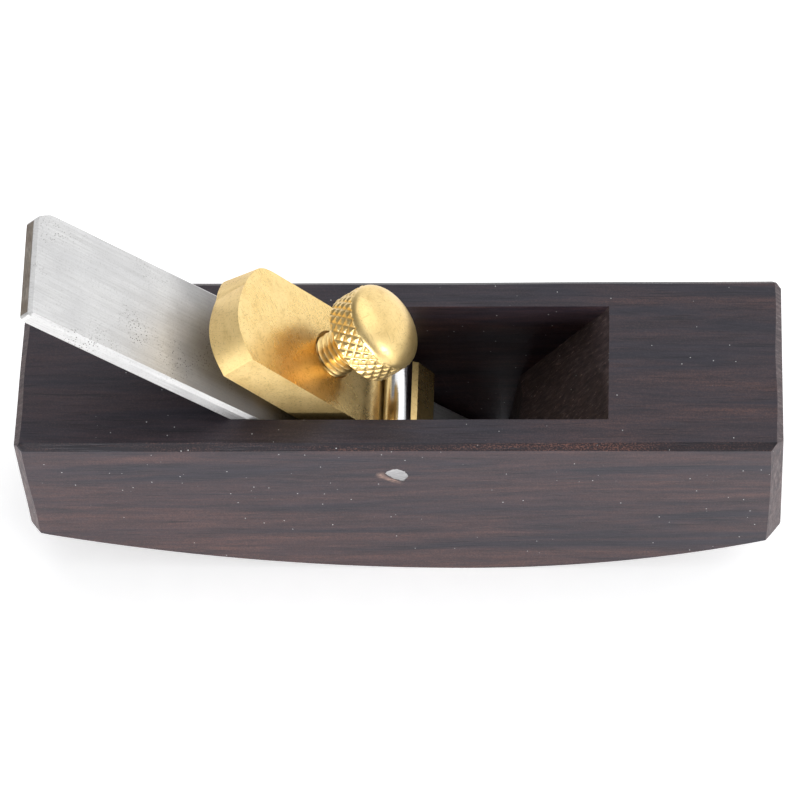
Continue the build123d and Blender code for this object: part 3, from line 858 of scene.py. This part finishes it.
def make_cap(material):
    blank_half = 9.0
    rings = []
    for across in (-blank_half, blank_half):
        rings.append([cap_point(along, across, rise) for along, rise in cap_profile()])
    piece = add_piece("brass_lever_cap", ringed_solid("brass_lever_cap", rings), material)
    past_nose = -10.0
    plan = smooth_through(CAP_CROWN, 8)
    plan += [(past_nose, CAP_FAR_SIDE), (past_nose, CAP_NEAR_SIDE)]
    rings = []
    for rise in (-blank_half, blank_half):
        ring = []
        for along, across in plan:
            far_share = min(max((FAR_LEAN_STARTS - across) / FAR_LEAN_RUN, 0.0), 1.0)
            lean = CROWN_LEAN + (FAR_LEAN - CROWN_LEAN) * far_share
            crown_share = min(max((along - CROWN_STARTS_ALONG) / CROWN_RUN, 0.0), 1.0)
            ring.append(cap_point(along + lean * rise * crown_share, across, rise))
        rings.append(ring)
    cut_away(piece, add_piece("crown_cutter", ringed_solid("crown_cutter", rings)), "INTERSECT")
    above = 1.0
    hole = [(0, -blank_half), (HOLE_RADIUS, -blank_half)]
    hole.append((HOLE_RADIUS, HOLE_RADIUS - HOLE_RIM_RADIUS))
    hole += [(HOLE_RIM_RADIUS + above, above), (0, above)]
    drill = turned_solid("hole_cutter", [(radius * MM, height * MM) for radius, height in hole], 72)
    drill.transform(screw_frame())
    cut_away(piece, add_piece("hole_cutter", drill))
    soften(piece, CAP_EDGE_BREAK, 4, 32.0)
    even_shading(shade_by_angle(piece, 26.0))
    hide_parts("lever_cap")
    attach(piece, "lever_cap")


# ------------------------------------------------------------------ thumb screw
class Tree(Nodes):
    """A Geometry Nodes tree with named inputs."""

    def __init__(self, name, inputs):
        super().__init__(bpy.data.node_groups.new(name, "GeometryNodeTree"))
        face = self.tree.interface
        face.new_socket("Geometry", in_out="INPUT", socket_type="NodeSocketGeometry")
        self.sockets = {}
        for label, kind, value in inputs:
            socket = face.new_socket(label, in_out="INPUT", socket_type=f"NodeSocket{kind}")
            self.sockets[label] = (socket.identifier, value)
        face.new_socket("Geometry", in_out="OUTPUT", socket_type="NodeSocketGeometry")
        self.given = self.node("NodeGroupInput").outputs
        self.result = self.node("NodeGroupOutput").inputs

    def around_and_along(self):
        """The angle round Z as a share of a turn, the height, and the outward direction."""
        place = self.node("GeometryNodeInputPosition").outputs[0]
        split = self.node("ShaderNodeSeparateXYZ")
        self.join(place, split.inputs[0])
        turn = self.maths("DIVIDE", self.maths("ARCTAN2", split.outputs["Y"], split.outputs["X"]), 2 * pi)
        flat = self.node("ShaderNodeCombineXYZ")
        self.join(split.outputs["X"], flat.inputs["X"])
        self.join(split.outputs["Y"], flat.inputs["Y"])
        outward = self.node("ShaderNodeVectorMath", operation="NORMALIZE")
        self.join(flat.outputs[0], outward.inputs[0])
        return turn, split.outputs["Z"], outward.outputs[0], place

    def wave(self, phase):
        """A straight-sided wave: 1 on the line, 0 half-way between lines."""
        share = self.maths("FRACT", phase)
        return self.times(self.maths("ABSOLUTE", self.maths("SUBTRACT", share, 0.5)), 2.0)

    def between(self, height):
        """1 between the tree's own Low and High, and 0 outside them."""
        above_low = self.maths("GREATER_THAN", height, self.given["Low"])
        below_high = self.maths("LESS_THAN", height, self.given["High"])
        return self.times(above_low, below_high)

    def carve(self, depth, outward, attribute):
        """Moves each point in by its depth, keeps the depth's share, and sets the material."""
        push = self.node("ShaderNodeVectorMath", operation="SCALE")
        self.join(outward, push.inputs[0])
        self.join(self.times(depth, -1.0), push.inputs["Scale"])
        store = self.node("GeometryNodeStoreNamedAttribute", data_type="FLOAT", domain="POINT")
        self.join(self.given["Geometry"], store.inputs["Geometry"])
        store.inputs["Name"].default_value = attribute
        self.join(self.maths("DIVIDE", depth, self.given["Depth"]), store.inputs["Value"])
        move = self.node("GeometryNodeSetPosition")
        self.join(store.outputs[0], move.inputs["Geometry"])
        self.join(push.outputs[0], move.inputs["Offset"])
        real = self.node("GeometryNodeRealizeInstances")
        self.join(move.outputs[0], real.inputs[0])
        paint = self.node("GeometryNodeSetMaterial")
        self.join(real.outputs[0], paint.inputs["Geometry"])
        self.join(self.given["Finish"], paint.inputs["Material"])
        self.join(paint.outputs[0], self.result["Geometry"])

    def apply(self, piece):
        modifier = piece.modifiers.new(self.tree.name, "NODES")
        modifier.node_group = self.tree
        for identifier, value in self.sockets.values():
            modifier[identifier] = value
        settled(piece)


def cut_thread(piece, finish, low, high):
    """Cuts a single-start right-hand thread round Z between two heights."""
    tree = Tree("cut_thread", [
        ("Pitch", "Float", THREAD_PITCH), ("Depth", "Float", 0.50 * MM), ("Low", "Float", low),
        ("High", "Float", high), ("Finish", "Material", finish),
    ])
    turn, height, outward, _ = tree.around_and_along()
    phase = tree.maths("SUBTRACT", tree.maths("DIVIDE", height, tree.given["Pitch"]), turn)
    # Flat crests and roots: the straight wave is stretched and clipped.
    wave = tree.maths("SUBTRACT", tree.times(tree.wave(phase), 1.3), 0.15)
    wave = tree.maths("MINIMUM", tree.maths("MAXIMUM", wave, 0.0), 1.0)
    inside = tree.between(height)
    depth = tree.times(tree.times(wave, inside), tree.given["Depth"])
    tree.carve(depth, outward, "groove")
    tree.apply(piece)


def roll_knurl(piece, finish, low, high):
    """Rolls a diamond knurl round Z between two heights: two families of crossing grooves."""
    tree = Tree("roll_knurl", [
        ("Lines", "Float", 29.0), ("Lead", "Float", 54.0 * MM), ("Depth", "Float", 0.23 * MM),
        ("Groove", "Float", 0.58), ("Low", "Float", low), ("High", "Float", high),
        ("Seed", "Float", 4.0), ("Finish", "Material", finish),
    ])
    turn, height, outward, place = tree.around_and_along()
    lean = tree.times(tree.maths("DIVIDE", height, tree.given["Lead"]), tree.given["Lines"])
    round_count = tree.times(turn, tree.given["Lines"])
    grooves = []
    for sign in ("ADD", "SUBTRACT"):
        wave = tree.wave(tree.maths(sign, round_count, lean))
        off_line = tree.maths("SUBTRACT", 1.0, wave)
        grooves.append(tree.maths("SUBTRACT", 1.0, tree.maths("DIVIDE", off_line, tree.given["Groove"])))
    deepest = tree.maths("MAXIMUM", tree.maths("MAXIMUM", grooves[0], grooves[1]), 0.0)
    noise = tree.node("ShaderNodeTexNoise", noise_dimensions="4D")
    tree.join(place, noise.inputs["Vector"])
    tree.join(tree.given["Seed"], noise.inputs["W"])
    noise.inputs["Scale"].default_value = 420.0
    uneven = tree.maths("ADD", tree.times(noise.outputs[0], 0.7), 0.55)
    inside = tree.between(height)
    depth = tree.times(tree.times(deepest, uneven), inside)
    depth = tree.times(depth, tree.given["Depth"])
    tree.carve(depth, outward, "groove")
    tree.apply(piece)


def turned_solid(name, profile, sides):
    """Turns a profile of (radius, height) points round Z; it starts and ends on the axis."""
    work = bmesh.new()
    rows = []
    for radius, height in profile:
        if radius == 0:
            rows.append([work.verts.new((0, 0, height))])
            continue
        row = []
        for k in range(sides):
            turn = 2 * pi * k / sides
            row.append(work.verts.new((radius * cos(turn), radius * sin(turn), height)))
        rows.append(row)
    for row, after in zip(rows, rows[1:]):
        for k in range(sides):
            next_k = (k + 1) % sides
            if len(row) == 1:
                work.faces.new((row[0], after[next_k], after[k]))
            elif len(after) == 1:
                work.faces.new((row[k], row[next_k], after[0]))
            else:
                work.faces.new((row[k], row[next_k], after[next_k], after[k]))
    bmesh.ops.recalc_face_normals(work, faces=work.faces)
    return mesh_of(name, work)


def screw_frame():
    """The matrix that takes Z to the screw's axis and the origin to the cap's face."""
    turn = Vector((0, 0, 1)).rotation_difference(SCREW_AXIS).to_matrix().to_4x4()
    return Matrix.Translation(SCREW_ORIGIN) @ turn


def reach_along_screw(node):
    """Lowest and highest point of a CAD node along the screw's axis."""
    reach = [(vertex.co - SCREW_ORIGIN).dot(SCREW_AXIS) for vertex in frame["nodes"][node].data.vertices]
    return min(reach), max(reach)


def even_steps(low, high, step):
    count = max(2, round((high - low) / step))
    return [low + (high - low) * k / count for k in range(count + 1)]


def make_stud(material):
    low, high = reach_along_screw("thumb_screw_stud")
    tip = 0.9 * MM
    profile = [(0, low), (1.4 * MM, low)]
    profile += [(THREAD_RADIUS, z) for z in even_steps(low + tip, high, THREAD_PITCH / 10)]
    profile.append((0, high))
    piece = add_piece("threaded_stud", turned_solid("threaded_stud", profile, 60), material)
    cut_thread(piece, material, low + tip * 1.05, KNOB_STAND_OFF + 0.6 * MM)
    piece.data.transform(screw_frame())
    shade_by_angle(piece, 40.0)
    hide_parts("thumb_screw_stud")
    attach(piece, "screw_stud")


def make_knob(material):
    band_low = KNOB_STAND_OFF
    band_high = KNOB_STAND_OFF + KNURL_HEIGHT
    edge = 0.30 * MM
    bore_top = band_low + KNOB_BORE_DEPTH
    profile = [(0, bore_top), (KNOB_BORE_RADIUS, bore_top), (KNOB_BORE_RADIUS, band_low)]
    under_face = KNOB_RADIUS - edge - KNOB_BORE_RADIUS
    profile += [(KNOB_BORE_RADIUS + under_face * k / 4, band_low) for k in (1, 2, 3, 4)]
    profile += [(KNOB_RADIUS - edge * 0.35, band_low + edge * 0.35)]
    profile += [(KNOB_RADIUS, z) for z in even_steps(band_low + edge, band_high - 0.1 * MM, 0.1 * MM)]
    dome_edge = KNOB_RADIUS - 0.13 * MM
    dome_rings = 22
    for k in range(dome_rings):
        lift = pi / 2 * k / dome_rings
        profile.append((dome_edge * cos(lift), band_high + DOME_HEIGHT * sin(lift)))
    profile.append((0, band_high + DOME_HEIGHT))
    piece = add_piece("knurled_knob", turned_solid("knurled_knob", profile, 360), material)
    roll_knurl(piece, material, band_low + edge * 0.5, band_high - 0.05 * MM)
    piece.data.transform(screw_frame())
    shade_by_angle(piece, 50.0)
    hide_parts("thumb_screw_knob")
    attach(piece, "screw_knob")


# ------------------------------------------------------------------ studio
def make_floor(material):
    reach = 3.0
    work = bmesh.new()
    bmesh.ops.create_grid(work, x_segments=4, y_segments=4, size=reach)
    add_piece("studio_floor", mesh_of("studio_floor", work), material)


# How bright the room is to the left, to the right and towards the camera.
LEFT_WALL = 0.32
RIGHT_WALL = 1.20
CAMERA_WALL = 0.15
CEILING = 0.72


def soft_light(name, place, target, size, power):
    light = bpy.data.lights.new(name, "AREA")
    light.shape = "RECTANGLE"
    light.size, light.size_y = size
    light.energy = power
    lamp = bpy.data.objects.new(name, light)
    lamp.location = place
    lamp.rotation_euler = (Vector(target) - Vector(place)).to_track_quat("-Z", "Y").to_euler()
    bpy.context.scene.collection.objects.link(lamp)


def light_studio():
    """A white room, dimmer to the left and dark towards the camera, with three softboxes."""
    world = bpy.data.worlds.new("white_room")
    bpy.context.scene.world = world
    world.use_nodes = True
    room = Nodes(world.node_tree)
    place = room.node("ShaderNodeTexCoord").outputs["Object"]

    def share(direction, low, high, to_low, to_high):
        lean = room.along(Vector(direction).normalized(), place)
        return room.spans(lean, low, high, to_low, to_high, "SMOOTHSTEP")

    strength = share((1, 0, 0), -0.75, 0.35, LEFT_WALL, RIGHT_WALL)
    strength = room.times(strength, share((-0.06, -0.84, 0.53), 0.78, 0.95, 1.0, CAMERA_WALL))
    strength = room.times(strength, share((0, 0, 1), 0.10, 0.38, 1.0, CEILING))
    background = room.tree.nodes["Background"]
    background.inputs["Color"].default_value = (0.97, 0.985, 1.0, 1)
    room.join(strength, background.inputs["Strength"])
    middle = (0, 0, STOCK_TOP)
    soft_light("softbox_top", (0.32, 0.52, 0.95), middle, (1.5, 1.2), 4.8)
    soft_light("softbox_right", (0.95, -0.43, 0.37), middle, (0.30, 0.30), 2.4)
    soft_light("softbox_front_left", (-0.34, -0.82, 0.135), middle, (0.5, 0.22), 7.0)


def set_camera():
    """A long lens, looking down across the near cheek, turned a little about its own axis."""
    elevation = radians(57.45)
    yaw = radians(6.35)
    roll = radians(-5.436)
    distance = 0.6242
    towards = Vector((sin(yaw) * cos(elevation), -cos(yaw) * cos(elevation), sin(elevation)))
    level_right = Vector((cos(yaw), sin(yaw), 0))
    level_up = towards.cross(level_right)
    right = level_right * cos(roll) + level_up * sin(roll)
    up = level_up * cos(roll) - level_right * sin(roll)
    aim_right = 0.0001
    aim_down = 0.00512
    aim = Vector((0, 0, STOCK_TOP)) + right * aim_right - up * aim_down
    data = bpy.data.cameras.new("camera")
    data.sensor_width = 36.0
    data.lens = 204.36
    data.clip_start = 0.05
    camera = bpy.data.objects.new("camera", data)
    turn = Matrix((right, up, towards)).transposed().to_4x4()
    camera.matrix_world = Matrix.Translation(aim + towards * distance) @ turn
    bpy.context.scene.collection.objects.link(camera)
    bpy.context.scene.camera = camera


bpy.context.scene.view_settings.view_transform = "Standard"

cap_brass = brass("satin_brass", 0.36, 0.8, 0.86, fine_face=CAP_NORMAL)
knob_brass = brass("turned_brass", 0.27, 0.7, 0.88, "groove")
thread_brass = brass("threaded_brass", 0.26, 0.3, 0.94, "groove")

make_stock(oiled_ebony())
make_pin(polished_rod())
make_iron(ground_steel(), sawn_steel())
make_cap(cap_brass)
make_stud(thread_brass)
make_knob(knob_brass)
make_floor(paper_white())
light_studio()
set_camera()
